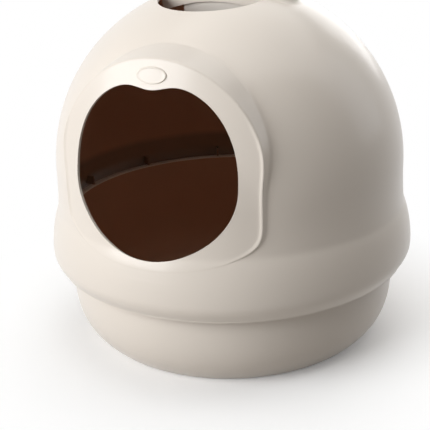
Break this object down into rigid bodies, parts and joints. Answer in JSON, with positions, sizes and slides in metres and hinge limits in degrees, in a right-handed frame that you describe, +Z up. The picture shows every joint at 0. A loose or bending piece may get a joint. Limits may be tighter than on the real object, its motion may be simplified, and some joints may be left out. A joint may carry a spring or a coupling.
{
  "type": "domed cat litter box",
  "caption": "Round litter pan under a lift-off domed hood with a front entrance cowl, a bridging top handle and a push-fit carbon filter tray.",
  "frame": {"origin": "middle of the pan's flat underside, on the floor", "axes": "-Y out of the entrance, +Z up, +X to the right of somebody who looks into the entrance"},
  "size_m": [0.508, 0.508, 0.488],
  "materials": {
    "pan_shell": "pearl beige, semi-gloss, warm brown inside",
    "hood_shell": "pearl beige, gloss, warm brown inside",
    "tray_plastic": "light grey-beige, satin",
    "carbon_foam": "black open foam"
  },
  "bodies": {
    "pan": {"base_pan": "pan_shell"},
    "hood": {"hood_skirt": "hood_shell", "dome_shell": "hood_shell", "entrance_cowl": "hood_shell", "carry_handle": "hood_shell"},
    "tray": {"filter_tray": "tray_plastic", "carbon_filter": "carbon_foam"}
  },
  "joints": [
    {"name": "hood_lift", "type": "slide", "parent": "pan", "child": "hood", "axis": [0, 0, 1], "range_m": [0, 0.25]},
    {"name": "filter_tray_pull", "type": "slide", "parent": "hood", "child": "tray", "axis": [0, 0, -1], "range_m": [0, 0.045]}
  ]
}
